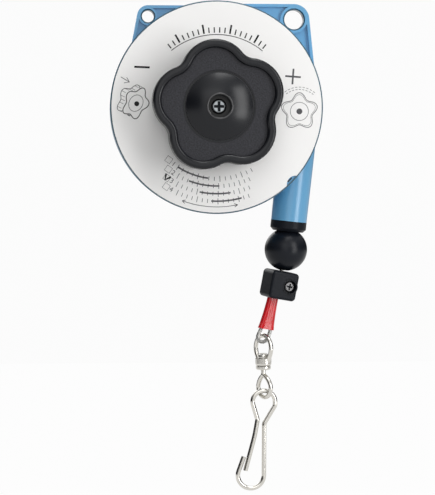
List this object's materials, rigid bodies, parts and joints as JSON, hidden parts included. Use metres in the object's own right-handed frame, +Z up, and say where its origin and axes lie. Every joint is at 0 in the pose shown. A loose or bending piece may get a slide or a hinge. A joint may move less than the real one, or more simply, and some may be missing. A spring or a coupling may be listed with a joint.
{
  "type": "spring tool balancer",
  "caption": "Small hanging spring balancer: round housing with a tension knob, side rope outlet, ball stop, rope clamp, swivel and snap hook.",
  "frame": {"origin": "centre of the suspension eye's bore, in the middle of the ear's thickness", "axes": "+Z up as it hangs, label and knob face -Y, rope outlet below the suspension eye"},
  "size_m": [0.108, 0.0713, 0.2516],
  "materials": {
    "blue_paint": "glossy sky-blue enamel on cast aluminium",
    "white_label": "satin white printed plate",
    "black_plastic": "fine-grained black moulding with a glossy rim and dome",
    "black_nylon": "satin black nylon",
    "black_rubber": "satin black rubber",
    "red_sleeve": "glossy red shrink sleeve",
    "nickel_plate": "nickel plate, slightly yellow, soft polish",
    "zinc_steel": "bright zinc-plated steel",
    "hard_steel": "turned and oiled steel",
    "spring_steel": "blued spring steel",
    "bronze": "sintered bronze",
    "drum_alloy": "die-cast aluminium",
    "wire_rope": "galvanised stranded wire rope"
  },
  "bodies": {
    "housing": {"rear_housing": "blue_paint", "front_cover": "blue_paint", "face_label": "white_label", "cover_screws": "zinc_steel", "ratchet_ring": "hard_steel", "ratchet_screws": "zinc_steel", "front_bush": "bronze", "rear_bush": "bronze", "nozzle_bush": "black_nylon"},
    "thrust_seat": {"thrust_washer": "hard_steel", "release_spring": "spring_steel"},
    "arbor_group": {"arbor": "hard_steel", "ratchet_clutch": "hard_steel", "clutch_pin": "hard_steel", "knob": "black_plastic", "knob_screw": "zinc_steel"},
    "drum_group": {"drum": "drum_alloy", "drum_cover": "hard_steel", "drum_screws": "zinc_steel", "drum_front_bush": "bronze", "drum_rear_bush": "bronze", "rope_windings": "wire_rope", "rope_nipple": "zinc_steel", "spring_anchor": "hard_steel", "power_spring": "spring_steel"},
    "rope_end": {"rope_run": "wire_rope", "ball_stop": "black_rubber", "clamp_front": "black_nylon", "clamp_back": "black_nylon", "clamp_screw": "zinc_steel", "clamp_nut": "zinc_steel", "rope_sleeve": "red_sleeve", "rope_loop": "wire_rope"},
    "bow": {"swivel_bow": "nickel_plate"},
    "eye": {"swivel_eye": "nickel_plate"},
    "hook": {"snap_hook": "nickel_plate"},
    "gate": {"hook_gate": "nickel_plate"}
  },
  "joints": [
    {"name": "knob_press", "type": "slide", "parent": "housing", "child": "thrust_seat", "axis": [0, 1, 0], "range_m": [0, 0.0025], "stiffness_N_per_m": 3000, "springref_m": -0.003, "deforming": ["release_spring"]},
    {"name": "knob_turn", "type": "hinge", "parent": "thrust_seat", "child": "arbor_group", "pos_m": [-0.04082, 0, -0.0456], "axis": [0, 1, 0], "range_deg": [-1080, 1080]},
    {"name": "drum_spin", "type": "hinge", "parent": "housing", "child": "drum_group", "pos_m": [-0.04082, 0, -0.0456], "axis": [0, 1, 0], "range_deg": [0, 2060.07], "stiffness_Nm_per_rad": 0.012, "springref_deg": -4068, "deforming": ["power_spring"]},
    {"name": "rope_pull", "type": "slide", "parent": "housing", "child": "rope_end", "axis": [-0.1045, 0, -0.9945], "range_m": [0, 1.6], "deforming": ["rope_run"]},
    {"name": "bow_swing", "type": "hinge", "parent": "rope_end", "child": "bow", "pos_m": [-0.01601, -0.00115, -0.16522], "axis": [0.9351, 0.309, -0.1733], "range_deg": [-25, 25]},
    {"name": "swivel_spin", "type": "hinge", "parent": "bow", "child": "eye", "pos_m": [-0.01541, -0.00085, -0.18317], "axis": [0, 0, 1], "continuous": true},
    {"name": "hook_swing", "type": "hinge", "parent": "eye", "child": "hook", "pos_m": [-0.01451, -0.00208, -0.19472], "axis": [0.5828, -0.8021, 0.1305], "range_deg": [-20, 20]},
    {"name": "gate_open", "type": "hinge", "parent": "hook", "child": "gate", "pos_m": [-0.01851, -0.00155, -0.20652], "axis": [0, -1, 0], "range_deg": [0, 14], "stiffness_Nm_per_rad": 0.02, "springref_deg": -8.59}
  ],
  "couplings": [
    {"joint": "rope_pull", "follows": "drum_spin", "m_per_rad": 0.0445}
  ]
}
